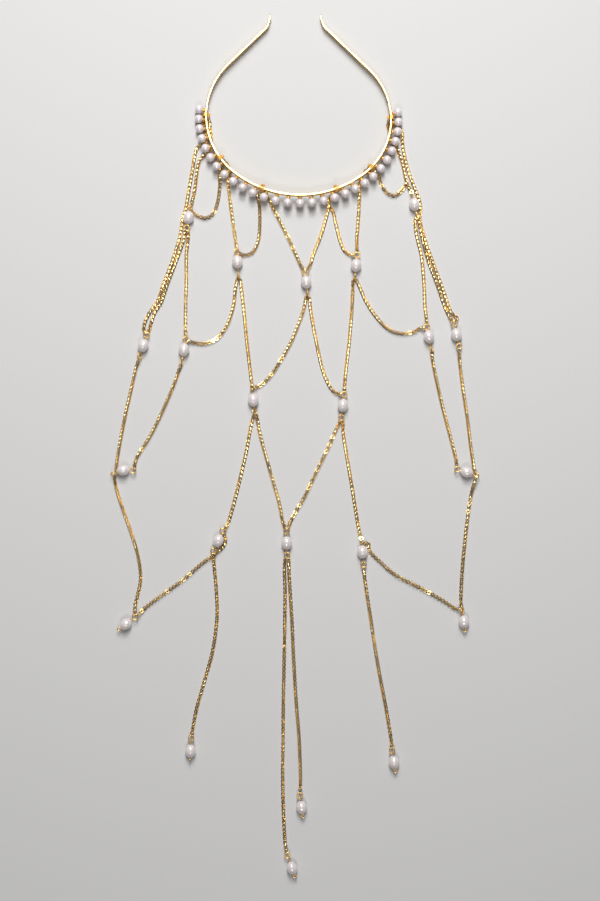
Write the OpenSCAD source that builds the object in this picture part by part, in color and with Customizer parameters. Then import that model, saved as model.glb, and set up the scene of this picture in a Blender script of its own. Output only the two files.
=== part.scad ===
// Tassel headband: a gilt strip band with a row of round pearls on its outer side, from which
// a net of fine chains hangs with rice pearls on eye pins. It is laid out flat with the band's
// ends up the page (+Y), the tassel's tip down the page (-Y) and the surface at z = 0.

/* [Band] */
// Thickness of the band's metal strip
strip_t = 1.4; // [1:0.1:1.6]
// Height of the strip, which stands on its edge
strip_h = 5; // [4.5:0.5:6]
// Radius of the crown, the wide arc in the middle of the band
crown_r = 74.2; // [74:0.1:75]
// Length of the straightened end of each arm
tip_len = 7; // [5:0.5:8]
// Slope in degrees of the band, whose ends touch the surface while its middle lies on the chains
band_tilt = 1.7; // [1.6:0.1:2]

/* [Round pearls] */
// Diameter of the round pearls on the band
round_d = 6; // [5.6:0.1:6.2]
// Distance from the strip's middle to the pearl's centre
pearl_reach = 5.25; // [5.2:0.05:5.4]
// Largest angle in degrees that a pearl's post leans away from the middle of the band
post_lean = 12; // [8:1:13]
// Depth of the hole in each pearl for its post
pearl_hole = 4; // [3:0.5:5]
// Diameter of the post
post_d = 0.9; // [0.7:0.1:1]
// Diameter of the wire that is coiled round the post
collar_wire = 0.7; // [0.6:0.05:0.75]

/* [Rice pearls and eye pins] */
// Length of a rice pearl along its hole
rice_len = 9.2; // [8.8:0.1:9.4]
// Diameter of a rice pearl across its hole
rice_d = 6.9; // [6.5:0.1:7]
// Diameter of the pin's straight shank
pin_d = 0.8; // [0.6:0.1:0.8]
// Diameter of the drilled hole through a rice pearl
rice_hole = 1.1; // [1.1:0.1:1.4]
// Diameter of the wire of an eye loop
eye_wire = 0.9; // [0.9:0.05:1]
// Outer diameter of an eye loop
eye_d = 4.6; // [4.2:0.1:4.6]
// Outer diameter of the small loop under a drop, and the diameter of its wire
tail_d = 2.8; // [2.4:0.1:3]
tail_wire = 0.7; // [0.6:0.05:0.75]

/* [Chains and ties] */
// Outer diameter that the fine chain fills
chain_d = 2.2; // [2:0.05:2.25]
// Distance between the rings of a chain's tube
ring_step = 6; // [5:0.5:6.6]
// Space between a chain's end and the loop that it hooks on
hook_gap = 0.4; // [0.3:0.05:0.5]
// Height of a chain's end where it hooks on a loop
hook_z = 2.6; // [2.4:0.1:3]
// Diameter of the wire that ties the chains to the band
tie_wire = 0.7; // [0.6:0.05:0.7]
// Distance from one turn of a tie to the next
tie_pitch = 0.85; // [0.8:0.05:0.85]
// Room between the strip's outer face and the wire, for the chain's last link
tie_room = 0.75; // [0.6:0.05:0.8]

/* [Hidden] */
$fn = 48;
side_names = ["left", "right"];
// Clearance between pieces that touch in the real thing
clear = 0.1;
pearl_z = strip_h / 2;
rice_z = rice_d / 2;
chain_z = chain_d / 2;
// Centre of the crown arc, and the highest y of the band's ends, which touch the surface
crown_x = 3.2;
crown_y = 249.4;
end_y = 302.2;

// Each side of the band: crown angle, shoulder radius, angle where the arm starts, arm length,
// and the angle that is left between the arm's end and the page's upward direction
LEFT = [40, 50, 136, 38.5, 13];
RIGHT = [36.5, 47.8, 136.2, 44.7, 17];
// Angle between the points that the band's arcs are drawn through
arc_step = 2.5;
// Spacing of the pearls from the middle outwards: first pitch, and how fast the row tightens
LEFT_ROW = [8.3, 0.083];
RIGHT_ROW = [7.9, 0.07];
pearls_a_side = 14;
// Places of the ties along the strip from its middle: side, distance
TIES = [[-1, 95.8], [-1, 63], [-1, 26.2], [1, 25], [1, 55.1], [1, 93.3]];

// Rice pearls: number, x, y, lean of the pin's top end to the right in degrees, distance of the
// top loop and of the bottom loop from the centre, roll of each loop about the pin (0 lies flat,
// 90 stands on edge), and how far the loops are bent to one side of the pin
BEADS = [
    [1, -74.8, 160.4, 10, 6.9, 7.4, 60, 0, 0],
    [2, -40.6, 129.4, -3.5, 7, 8.8, 20, 90, 0],
    [3, 7.5, 115.3, -6, 6.9, 7.5, 0, 90, 0],
    [4, 42.3, 127, 6, 7.3, 7.3, 0, 90, 0],
    [5, 83.1, 169.5, -12, 6.9, 6.9, 90, 90, 0],
    [6, -106.5, 70.9, 18.5, 7.8, 7.7, 0, 45, 0],
    [7, -78, 68, 10.5, 7.1, 6.9, 20, 90, 0],
    [8, 93.2, 77.1, -11.6, 6.9, 8.8, 0, 60, 0],
    [9, 112.5, 78.4, -13, 8, 8.2, 0, 0, 0],
    [10, -29.5, 32.8, -6, 6.9, 8.3, 90, 45, 0],
    [11, 33.1, 29.1, 6.6, 7.7, 8.7, 0, 0, 0],
    [12, -120.6, -16.2, 80, 6.9, 6.9, 0, 90, 1.5],
    [13, 119.8, -17.6, -73, 6.9, 6.9, 0, 90, 0],
    [14, -54, -65.5, 24.7, 7.4, 8, 0, 0, 0],
    [15, -6.1, -67.1, -1, 8.3, 8.7, 0, 0, 0],
    [16, 46.8, -73.3, -5, 7.4, 9, 90, 0, 0],
    [17, -118.7, -123.8, 53, 8.2, 6, 0, 0, 0],
    [18, 117.7, -122.2, -7.5, 7.5, 6, 60, 0, 0],
    [19, -73.4, -212.5, 3, 9.1, 6, 0, 90, 0],
    [20, 68.9, -220.4, -9, 8.5, 6, 0, 0, 0],
    [21, 4.3, -252, -8.5, 8.6, 6, 0, 0, 0],
    [22, -2.4, -294.3, -20.6, 9.5, 6, 0, 0, 0]
];
// The drops at the tassel's tips, which end in a small loop
first_drop = 17;

// Chains: strand, start, end, and the points that the chain passes over on its way. A start or
// end is a rice pearl's number, which loop of it (1 top, -1 bottom) and the extra distance from
// that loop, below 0 at a loop on edge, or [] at a chain's own end. A point without a height
// lies on the surface.
TOP = 1;
LOW = -1;
CHAINS = [
    ["left_1", [], [6, TOP, 0], [[-64.2, 229.5, 1.8], [-64.2, 227.3, 1.4], [-63.8, 224.5],
        [-62.7, 218], [-62.4, 214], [-64.4, 211.8], [-68.5, 210], [-70.7, 204], [-71.5, 198],
        [-74, 184], [-77, 166.5], [-79.2, 160], [-79.8, 154], [-81.6, 145], [-86.6, 129.5],
        [-92.7, 113.5], [-96.7, 102], [-101.8, 95], [-105.3, 88], [-106.4, 82.4]]],
    ["left_1", [6, LOW, 0], [12, LOW, 0], [[-111.5, 56], [-115.5, 39], [-119.5, 21], [-123, 3],
        [-125, -9]]],
    ["left_1", [12, LOW, -1.5], [17, TOP, 0], [[-125.8, -28], [-122, -40.5], [-115.5, -59],
        [-110.5, -75.5], [-108.5, -91.5], [-110.5, -103], [-112.4, -111]]],
    ["left_2", [], [1, TOP, 0], [[-60.3, 229.5, 2], [-60.2, 227.2, 1.5], [-60, 224], [-59.2, 218],
        [-59.1, 213], [-59.6, 208.5], [-62, 205], [-65.5, 203], [-68.3, 197], [-70.5, 181],
        [-72, 174]]],
    ["left_2", [1, LOW, 0], [7, TOP, 0], [[-74.1, 149.1], [-75.3, 142], [-76.5, 134],
        [-76.5, 117], [-77, 100], [-77.1, 82.5]]],
    ["left_2", [7, LOW, 0], [12, TOP, 0], [[-82.5, 51.5], [-85.5, 43], [-93.5, 24.5],
        [-102, 7.5], [-111, -7]]],
    ["left_3", [1, LOW, 0], [6, TOP, 0], [[-78, 149], [-78.6, 144.5], [-83.6, 130.5],
        [-89.7, 114.3], [-94.1, 101.5], [-98.8, 94], [-102.2, 83.4]]],
    ["left_4", [1, TOP, 0], [], [[-69.5, 162.6], [-63, 160.5], [-57.5, 164], [-54.3, 173],
        [-53, 184], [-53.3, 190.5], [-51.9, 194.5], [-52.5, 197.9, 2.7]]],
    ["left_5", [], [2, TOP, 0], [[-49.3, 200.3, 2.9], [-47.8, 198.2, 1.7], [-46.5, 195],
        [-46, 190.5], [-47.3, 186.5], [-46.5, 178], [-45, 166], [-43.5, 155], [-41.6, 142]]],
    ["left_5", [2, LOW, 0], [10, TOP, 0], [[-38, 116], [-37.4, 109], [-36.4, 98], [-34, 73],
        [-32, 56], [-30.8, 45.8]]],
    ["left_5", [10, LOW, 0], [14, TOP, 0], [[-30.9, 20.1], [-31.8, 12], [-34.5, -3],
        [-38.5, -20.5], [-43.5, -40.5], [-47.5, -54]]],
    ["left_5", [], [19, TOP, 0], [[-57.3, -75.8, 3.5], [-57.2, -79, 3.3], [-56.8, -85, 1.4],
        [-55.5, -100],
        [-55, -119.5], [-58, -142.5], [-64, -164.5], [-69, -182], [-72, -197]]],
    ["left_6", [2, TOP, 0], [], [[-36, 134.5], [-30, 136.5], [-26, 145], [-25, 157],
        [-25.3, 169], [-26.3, 173.5], [-26, 176.5], [-24.2, 178, 1.6]]],
    ["left_7", [2, LOW, 0], [7, TOP, 0], [[-41.8, 116.4], [-42.7, 110], [-43.5, 99],
        [-47.5, 86.5], [-54.5, 76.5], [-63.5, 72.5], [-71.5, 73.2]]],
    ["left_8", [], [3, TOP, 0], [[-21.8, 177.2, 1.6], [-19.6, 175.7], [-18.2, 172.5],
        [-15.5, 167], [-6, 148.5], [0, 135.5], [3.5, 127.5]]],
    ["left_9", [3, LOW, 0], [10, TOP, 0], [[6, 103.6], [5.3, 95], [-2.5, 75], [-10, 61.5],
        [-17.5, 50], [-25, 43]]],
    ["left_10", [10, LOW, 0], [15, TOP, 0.4], [[-26.1, 20.1], [-25.2, 12], [-22, -2],
        [-16, -23], [-11.5, -39], [-9.2, -51]]],
    ["left_11", [15, LOW, 0], [22, TOP, 0], [[-8.4, -79.8], [-8, -88], [-7.3, -100],
        [-7.5, -122.5], [-8, -151.5], [-8.5, -178], [-8.7, -204.5], [-9, -228], [-8.5, -254],
        [-7.3, -277]]],
    ["left_12", [14, TOP, 0], [17, TOP, 0], [[-49, -64.5], [-50.2, -69], [-54, -73], [-59, -77],
        [-65.5, -81.5], [-79.5, -93.5], [-94, -104], [-104.5, -112]]],
    ["right_1", [], [9, TOP, 0], [[68.7, 227.8, 2], [68.9, 226.1, 1.4], [69.9, 224.5],
        [72, 223.4], [74.6, 221], [75.2, 210], [78.7, 194.5], [83.8, 180.5], [86.8, 172.5],
        [87.5, 166], [87.2, 158.5], [90.9, 144.5], [95.8, 130.5], [102.4, 112.7],
        [106.3, 101.5], [109, 94.5], [113.2, 90.3]]],
    ["right_1", [9, LOW, 0], [13, LOW, -1.3], [[115, 60], [117.5, 39.5], [120.5, 19.5],
        [122.7, 1], [124.5, -11]]],
    ["right_1", [13, LOW, -1.5], [18, TOP, 0], [[123.5, -31.5], [121.5, -43], [118.5, -68],
        [116.5, -91.5], [115.9, -109]]],
    ["right_2", [], [5, TOP, 0], [[64.7, 227.8, 2], [64.8, 225.5, 1.4], [65.6, 221.5],
        [66.7, 216.5], [68.8, 211.3], [71.4, 208.5], [73.1, 204], [75.4, 197], [77.8, 186]]],
    ["right_2", [5, LOW, 0], [8, TOP, 0], [[82.9, 158.4], [83.9, 152], [86.1, 143],
        [88.4, 133], [90, 115], [90.6, 101.5], [91.6, 90.5]]],
    ["right_2", [8, LOW, 0], [13, TOP, 0], [[96, 61], [98, 50.5], [102.5, 30.5], [107, 13],
        [112, -6.5]]],
    ["right_3", [], [9, TOP, 0], [[85.8, 160.4, 3.9], [86.6, 157.5, 3.6], [88, 150, 3.3],
        [89.7, 142, 2.8], [91.9, 134.5, 1.6], [94.1, 127.5], [99.9, 112], [103.7, 101], [106.3, 94.5],
        [107.9, 91]]],
    ["right_4", [], [], [[76.2, 184.4], [74, 179.5], [69.5, 176.2], [64.5, 178], [60.5, 183],
        [58.7, 188.3], [57, 191.2], [54.2, 192.2, 1.3]]],
    ["right_5", [], [4, TOP, 0], [[50.3, 194.8, 2.9], [48.9, 193.3, 1.8], [47.3, 191],
        [45.2, 187], [44.9, 183], [44.8, 174], [44, 159.5], [43, 146]]],
    ["right_5", [4, LOW, 0], [11, TOP, 0], [[39.8, 115.6], [40, 107], [39.3, 94], [37.5, 73],
        [35, 51]]],
    ["right_5", [11, LOW, 0], [16, TOP, 0], [[34.3, 16.1], [34, 9], [35.5, -3.5], [40, -30.5],
        [44, -55.5]]],
    ["right_5", [16, LOW, 0], [20, TOP, 0], [[48.3, -91], [50, -103], [53, -122.5],
        [57.5, -151.5], [63.5, -183.5], [67, -205]]],
    ["right_6", [], [4, TOP, 0], [[25.9, 167.4], [28.5, 155.5], [31, 145.5], [34, 138],
        [38.3, 134.7]]],
    ["right_7", [4, LOW, 0], [8, TOP, 0], [[44.4, 115.7], [46.3, 109], [49.5, 102], [56, 92],
        [64, 83.5], [73, 79.7], [82.5, 80.5], [86.4, 82.8]]],
    ["right_8", [], [3, TOP, 0], [[27, 177, 1.6], [24.6, 175.6], [23.6, 172], [22.5, 164.5],
        [17.5, 147.5], [12.5, 135], [10.3, 127.5]]],
    ["right_9", [3, LOW, 0], [11, TOP, 0], [[10.2, 103.6], [10.9, 95], [13.5, 79.5],
        [18.5, 56], [24, 42.5], [28.6, 37.9]]],
    ["right_10", [11, LOW, 0], [15, TOP, 0.4], [[29.6, 16.4], [27.2, 9.5], [23.5, 1],
        [14.5, -17.5], [6.5, -34.5], [0, -45.5], [-3.6, -52.5]]],
    ["right_11", [15, LOW, 0], [21, TOP, 0], [[-4.1, -79.8], [-4.4, -88], [-3.7, -103],
        [-2.5, -122.5], [-1.2, -151], [0.5, -179], [2.5, -204.5], [3.5, -232]]],
    ["right_12", [16, TOP, -1.5], [18, TOP, -1], [[51, -67.5], [52, -73], [60, -81], [66, -86.5],
        [73.5, -91.5], [90, -100], [104, -108], [111.8, -113.2]]]
];
strands_a_side = 12;

pearl_rows = [for (side = [-1, 1]) for (k = [1:pearls_a_side]) pearl_place(side, k)];
ROUND_PEARLS = concat([[1, 0, 0]], pearl_rows);
RICE_NODES = [for (b = BEADS) str("rice_pearl_", b[0])];
CHAIN_NODES = [for (side = side_names) for (n = [1:strands_a_side]) str("chain_", side, "_", n)];

// The band's middle line

function band_side(side) = side < 0 ? LEFT : RIGHT;
function crown_len(side) = crown_r * band_side(side)[0] * PI / 180;
// Angle from straight down the page of the outward direction at a distance along the strip
function heading(side, s) =
    let (b = band_side(side), c = crown_len(side))
    s <= c ? s / c * b[0] : min(b[0] + (s - c) / b[1] * 180 / PI, b[2]);
// Centre of the shoulder arc, from the crown's centre, with the side counted as the right one
function shoulder_centre(side) =
    let (b = band_side(side))
    (crown_r - b[1]) * [sin(b[0]), -cos(b[0])];
// Point of the middle line, in the same frame, on the crown or on a shoulder
function band_point(side, s) =
    let (a = heading(side, s), out = [sin(a), -cos(a)])
    s <= crown_len(side) ? crown_r * out : shoulder_centre(side) + band_side(side)[1] * out;
// A pearl's side, distance along the strip to its post's foot, and the lean of its post
function pearl_place(side, k) =
    let (row = side < 0 ? LEFT_ROW : RIGHT_ROW, lean = min(post_lean, 4 * k))
    [side, row[0] * k - row[1] * k * k - pearl_reach * sin(lean), lean];

// Turns the right side's frame, which has x along the strip and -y outwards, to the page
module on_band(side, s) {
    p = band_point(side, s);
    translate([crown_x, crown_y, 0])
        mirror([side < 0 ? 1 : 0, 0, 0])
            translate([p[0], p[1], 0])
                rotate([0, 0, heading(side, s)])
                    children();
}

// Leans the band back so that its ends touch the surface and its middle clears the chains
module as_it_lies() {
    translate([0, end_y, 0])
        rotate([-band_tilt, 0, 0])
            translate([0, -end_y, 0])
                children();
}

// The band's outline: crown arc, shoulder arc, straight arm and rounded end, out along the
// strip's outer face and back along its inner face
function half_outline(side) =
    let (b = band_side(side), half = strip_t / 2, c = shoulder_centre(side),
        arm_way = [cos(b[2]), sin(b[2])], arm_out = [sin(b[2]), -cos(b[2])],
        tip_way = [-sin(b[4]), cos(b[4])], tip_out = [cos(b[4]), sin(b[4])],
        corner = c + b[1] * arm_out + b[3] * arm_way,
        mitre = (arm_out + tip_out) / (1 + arm_out * tip_out),
        tip = corner + tip_len * tip_way,
        crown = [for (a = [0:arc_step:b[0]]) [a, [0, 0], crown_r]],
        shoulder = [for (a = [b[0] + 1:arc_step:b[2]]) [a, c, b[1]]],
        arcs = concat(crown, shoulder, [[b[2], c, b[1]]]),
        count = len(arcs))
    concat(
        [for (p = arcs) p[1] + (p[2] + half) * [sin(p[0]), -cos(p[0])]],
        [corner + half * mitre],
        [for (a = [0:30:180]) tip + half * (cos(a) * tip_out + sin(a) * tip_way)],
        [corner - half * mitre],
        [for (i = [count - 1:-1:0]) let (p = arcs[i])
            p[1] + (p[2] - half) * [sin(p[0]), -cos(p[0])]]);

module band() {
    right = half_outline(1);
    left = half_outline(-1);
    left_back = [for (i = [len(left) - 2:-1:1]) [-left[i][0], left[i][1]]];
    color("goldenrod")
        as_it_lies()
            translate([crown_x, crown_y, 0])
                linear_extrude(height = strip_h)
                    polygon(concat(right, left_back));
}

// Round pearls on their posts

// Puts a shape that points up z on the line of a pearl's post, outwards from the strip
module on_post(pearl) {
    as_it_lies()
        on_band(pearl[0], pearl[1])
            translate([0, 0, pearl_z])
                rotate([0, 0, pearl[2]])
                    rotate([90, 0, 0])
                        children();
}

module round_pearls() {
    color("lavenderblush")
        for (p = ROUND_PEARLS)
            on_post(p)
                difference() {
                    translate([0, 0, pearl_reach])
                        sphere(d = round_d);
                    translate([0, 0, pearl_reach - round_d])
                        cylinder(d = post_d + 2 * clear, h = round_d / 2 + pearl_hole);
                }
}

module ring(outer, wire) {
    rotate_extrude()
        translate([(outer - wire) / 2, 0])
            circle(d = wire);
}

// A post is soldered to the strip and has two turns of wire coiled round its foot
module pearl_posts() {
    foot = strip_t / 2 + 2 * clear;
    coil_d = post_d + 2 * collar_wire - clear;
    first_turn = 1.37;
    turn_step = 0.53;
    color("gold")
        for (p = ROUND_PEARLS)
            on_post(p) {
                translate([0, 0, foot])
                    cylinder(d = post_d, h = pearl_reach - round_d / 2 + pearl_hole - foot - clear);
                for (turn = [0, 1])
                    translate([0, 0, first_turn + turn * turn_step])
                        ring(coil_d, collar_wire);
            }
}

// Ties: three turns of wire round the strip, which stand off its outer side to take a link

function round_box(low, high, r) =
    [for (corner = [[high[0] - r, high[1] - r, 0], [low[0] + r, high[1] - r, 90],
        [low[0] + r, low[1] + r, 180], [high[0] - r, low[1] + r, 270]])
        for (a = [0, 30, 60, 90])
            [corner[0] + r * cos(corner[2] + a), corner[1] + r * sin(corner[2] + a)]];

module tie() {
    inner_low = [-strip_t / 2 - tie_room, -clear];
    inner_high = [strip_t / 2 + clear, strip_h + clear];
    wire = [tie_wire, tie_wire];
    for (turn = [-1, 0, 1])
        translate([turn * tie_pitch - tie_wire / 2, 0, 0])
            rotate([90, 0, 90])
                linear_extrude(height = tie_wire)
                    difference() {
                        polygon(round_box(inner_low - wire, inner_high + wire, tie_wire));
                        polygon(round_box(inner_low, inner_high, clear));
                    }
    // The turns cross and are soldered on the inner side
    translate([-tie_pitch, inner_high[0], strip_h / 2 - tie_wire / 2])
        cube([2 * tie_pitch, tie_wire, tie_wire]);
}

module chain_ties() {
    color("gold")
        for (t = TIES)
            as_it_lies()
                on_band(t[0], t[1])
                    tie();
}

// Rice pearls on eye pins

function bead(n) = BEADS[n - 1];
function pin_way(n) = [sin(bead(n)[3]), cos(bead(n)[3])];
// Centre of a pearl's loop on the page: end is 1 for the top one and -1 for the bottom one
function eye_centre(n, end) =
    let (b = bead(n), u = pin_way(n))
    [b[1], b[2]] + end * b[end > 0 ? 4 : 5] * u + b[8] * [u[1], -u[0]];

// Puts a shape that points up z on the line of a rice pearl's pin
module on_pin(n) {
    b = bead(n);
    translate([b[1], b[2], rice_z])
        rotate([0, 0, -b[3]])
            rotate([-90, 0, 0])
                children();
}

module rice_pearl(n) {
    profile = [for (a = [-90:7.5:90]) [rice_d / 2 * cos(a), rice_len / 2 * sin(a)]];
    color("lavenderblush")
        on_pin(n)
            difference() {
                rotate_extrude()
                    polygon(profile);
                cylinder(d = rice_hole, h = 2 * rice_len, center = true);
            }
}

module eye_pin(n) {
    b = bead(n);
    has_tail = n >= first_drop;
    low_d = has_tail ? tail_d : eye_d;
    low_wire = has_tail ? tail_wire : eye_wire;
    top_end = b[4] - (eye_d - eye_wire) / 2;
    low_end = b[5] - (low_d - low_wire) / 2;
    on_pin(n) {
        translate([0, 0, -low_end])
            cylinder(d = pin_d, h = low_end + top_end);
        // The step to loops that are bent to one side
        if (b[8] > 0)
            for (z = [-low_end, top_end])
                translate([0, 0, z])
                    rotate([0, 90, 0])
                        cylinder(d = pin_d, h = b[8]);
        translate([b[8], 0, b[4]])
            rotate([0, 0, b[6]])
                rotate([90, 0, 0])
                    ring(eye_d, eye_wire);
        translate([b[8], 0, -b[5]])
            rotate([0, 0, b[7]])
                rotate([90, 0, 0])
                    ring(low_d, low_wire);
    }
}

module eye_pins() {
    color("gold")
        for (b = BEADS)
            eye_pin(b[0]);
}

// Chains: each is a smooth tube through its route

function unit(v) = v / norm(v);
function on_surface(p) = len(p) > 2 ? p : [p[0], p[1], chain_z];
// Where a chain starts outside a loop's wire, on the way to its nearest point
function hook(place, toward) =
    let (c = eye_centre(place[0], place[1]), way = unit([toward[0], toward[1]] - c),
        p = c + (eye_d / 2 + hook_gap + place[2]) * way)
    [p[0], p[1], hook_z];
function route(row) =
    let (points = row[3], last = points[len(points) - 1])
    concat(row[1] == [] ? [] : [hook(row[1], points[0])],
        [for (p = points) on_surface(p)],
        row[2] == [] ? [] : [hook(row[2], last)]);

// A curve that passes through b and c, between a and d
function curve_point(a, b, c, d, t) =
    0.5 * (2 * b + (c - a) * t + (2 * a - 5 * b + 4 * c - d) * t * t
        + (3 * b - a - 3 * c + d) * t * t * t);
function not_under(p) = [p[0], p[1], max(p[2], chain_z)];
function smooth(points) =
    let (last = len(points) - 1)
    concat(
        [for (i = [0:last - 1])
            let (a = points[max(i - 1, 0)], b = points[i], c = points[i + 1],
                d = points[min(i + 2, last)], parts = max(1, round(norm(c - b) / ring_step)))
            for (j = [0:parts - 1])
                not_under(curve_point(a, b, c, d, j / parts))],
        [points[last]]);

module tube(line, d) {
    sides = 8;
    last = len(line) - 1;
    rings = [for (i = [0:last])
        let (way = unit(line[min(i + 1, last)] - line[max(i - 1, 0)]),
            across = unit(cross([0, 0, 1], way)), up = cross(way, across))
        for (j = [0:sides - 1])
            line[i] + d / 2 * (cos(360 * j / sides) * across + sin(360 * j / sides) * up)];
    walls = [for (i = [0:last - 1]) for (j = [0:sides - 1])
        let (k = (j + 1) % sides)
        [i * sides + j, i * sides + k, (i + 1) * sides + k, (i + 1) * sides + j]];
    start_cap = [for (j = [0:sides - 1]) sides - 1 - j];
    end_cap = [for (j = [0:sides - 1]) last * sides + j];
    polyhedron(concat(rings), concat([start_cap], walls, [end_cap]));
}

module chain(strand) {
    color("gold")
        for (row = CHAINS)
            if (row[0] == strand)
                tube(smooth(route(row)), chain_d);
}

band();
round_pearls();
pearl_posts();
chain_ties();
eye_pins();
for (b = BEADS)
    rice_pearl(b[0]);
for (side = side_names) for (n = [1:strands_a_side])
    chain(str(side, "_", n));
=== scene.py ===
from math import asin, atan2, ceil, cos, degrees, pi, radians, sin, sqrt

import bpy
import numpy as np
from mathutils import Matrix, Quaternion, Vector, noise


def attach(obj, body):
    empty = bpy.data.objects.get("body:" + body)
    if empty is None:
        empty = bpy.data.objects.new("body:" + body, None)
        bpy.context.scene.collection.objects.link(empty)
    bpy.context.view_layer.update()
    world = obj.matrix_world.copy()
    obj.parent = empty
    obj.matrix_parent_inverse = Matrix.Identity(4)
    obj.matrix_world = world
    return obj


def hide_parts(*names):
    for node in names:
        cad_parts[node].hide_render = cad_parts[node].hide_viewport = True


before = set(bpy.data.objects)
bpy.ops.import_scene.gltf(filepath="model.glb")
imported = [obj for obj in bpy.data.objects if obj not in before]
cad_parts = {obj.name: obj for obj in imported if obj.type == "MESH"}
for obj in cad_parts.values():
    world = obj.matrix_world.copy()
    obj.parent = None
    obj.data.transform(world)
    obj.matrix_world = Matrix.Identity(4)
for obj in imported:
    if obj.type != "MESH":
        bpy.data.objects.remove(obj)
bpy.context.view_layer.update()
MM = 0.001

# The camera looks straight down on the headband as it lies. The picture's 901 rows take in
# 631 mm of the surface from a metre away.
PICTURE_MIDDLE = (3.15, -2.45)
CAMERA_HEIGHT = 1002.5
SENSOR_WIDTH, LENS = 36, 57.1
camera_data = bpy.data.cameras.new("overhead_camera")
camera_data.sensor_width = SENSOR_WIDTH
camera_data.lens = LENS
camera_data.clip_start = 0.01
camera = bpy.data.objects.new("overhead_camera", camera_data)
camera.location = Vector((*PICTURE_MIDDLE, CAMERA_HEIGHT)) * MM
bpy.context.scene.collection.objects.link(camera)
bpy.context.scene.camera = camera
bpy.context.scene.view_settings.view_transform = "Standard"


# The table top is matt board, pale grey and slightly warm, lit by soft boxes. Its faint tooth of
# 1.2 mm keeps the shadows soft, and it throws light back up under the wires.
def linear(code):
    """The linear colour of an sRGB hex value."""
    parts = [int(code[i:i + 2], 16) / 255 for i in (1, 3, 5)]
    return tuple(c / 12.92 if c < 0.0405 else ((c + 0.055) / 1.055) ** 2.4 for c in parts) + (1,)


def add_node(tree, kind, inputs=None, **settings):
    """Adds a node, sets it, and fills its inputs with values or with other nodes' outputs."""
    node = tree.nodes.new("ShaderNode" + kind)
    for name, value in settings.items():
        setattr(node, name, value)
    for name, value in (inputs or {}).items():
        if isinstance(value, bpy.types.NodeSocket):
            tree.links.new(value, node.inputs[name])
        else:
            node.inputs[name].default_value = value
    return node


def new_material(name):
    """An empty material, its node tree and its own object coordinates."""
    material = bpy.data.materials.new(name)
    material.use_nodes = True
    tree = material.node_tree
    tree.nodes.clear()
    return material, tree, add_node(tree, "TexCoord").outputs["Object"]


def finish_material(tree, **inputs):
    """Ends a material in one principled surface."""
    named = {key.replace("_", " "): value for key, value in inputs.items()}
    surface = add_node(tree, "BsdfPrincipled", named)
    add_node(tree, "OutputMaterial", {"Surface": surface.outputs[0]})


BOARD_SIZE, BOARD_TOOTH = 4000, 1.2
board_paper, tree, place = new_material("matt_pale_board")
fibres = add_node(tree, "TexNoise", {"Vector": place, "Scale": 1 / (BOARD_TOOTH * MM),
                                     "Detail": 3.0})
paper_tone = add_node(tree, "MixRGB", {"Fac": fibres.outputs[0], "Color1": linear("#C4C3C2"),
                                       "Color2": linear("#CCCBCA")})
finish_material(tree, Base_Color=paper_tone.outputs[0], Roughness=0.9)
half = BOARD_SIZE / 2 * MM
board_mesh = bpy.data.meshes.new("board")
board_mesh.from_pydata([(-half, -half, 0), (half, -half, 0), (half, half, 0), (-half, half, 0)],
                       [], [(0, 1, 2, 3)])
board_mesh.materials.append(board_paper)
board = bpy.data.objects.new("board", board_mesh)
bpy.context.scene.collection.objects.link(board)

# Four soft boxes beyond the band light the gilding along the chains, and one beyond the tassel
# fills in. The room itself gives very little light.
SOFT_BOXES = [
    # name, place, width, height, power
    ("key_box", (0, 1100, 1100), 300, 300, 9),
    ("middle_box", (0, 700, 1100), 300, 300, 6.3),
    ("upper_box", (0, 1150, 900), 900, 250, 4.5),
    ("crown_box", (0, 460, 1200), 450, 300, 3.8),
    ("low_box", (0, -900, 1400), 350, 350, 6),
]
for name, spot, width, height, power in SOFT_BOXES:
    box = bpy.data.lights.new(name, "AREA")
    box.shape = "RECTANGLE"
    box.size, box.size_y = width * MM, height * MM
    box.energy = power
    lamp = bpy.data.objects.new(name, box)
    lamp.location = Vector(spot) * MM
    lamp.rotation_euler = (-lamp.location).to_track_quat("-Z", "Y").to_euler()
    bpy.context.scene.collection.objects.link(lamp)
ROOM_LIGHT = 0.06
room = bpy.data.worlds.new("studio_room")
room.use_nodes = True
backdrop = room.node_tree.nodes["Background"]
backdrop.inputs["Color"].default_value = linear("#D9DCE2")
backdrop.inputs["Strength"].default_value = ROOM_LIGHT
bpy.context.scene.world = room

# The band is one brass strip on edge, bent to a crown arc, two shoulders and two straight arms
# whose ends are straightened, then tumbled and gilt. It lies sloping back on the chains, so its
# ends touch the board and its crown is 3.7 mm up.
STRIP_T, STRIP_H, STRIP_EDGE = 1.4, 5, 0.3
CROWN_R = 74.2
CROWN_CENTRE = (3.2, 249.4)
END_Y = 302.2
SLOPE = radians(1.7)
TIP_LEN, TIP_BEND, TIP_ROUNDING = 6.99, 2.5, 0.06
# Each side: crown angle, shoulder radius, angle where the arm starts, arm length, tip angle
SIDES = {-1: (40, 50, 136, 38.5, 13), 1: (36.5, 47.8, 136.2, 44.7, 17)}


def unit(v):
    return v / np.linalg.norm(v)


def arc_place(side, s):
    """The strip's heading in degrees and middle point, on the right side's own plan."""
    crown, shoulder_r, last = SIDES[side][:3]
    crown_len = CROWN_R * radians(crown)
    if s <= crown_len:
        a = degrees(s / CROWN_R)
        return a, np.array([sin(radians(a)), -cos(radians(a))]) * CROWN_R
    a = min(crown + degrees((s - crown_len) / shoulder_r), last)
    centre = np.array([sin(radians(crown)), -cos(radians(crown))]) * (CROWN_R - shoulder_r)
    return a, centre + shoulder_r * np.array([sin(radians(a)), -cos(radians(a))])


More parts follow.
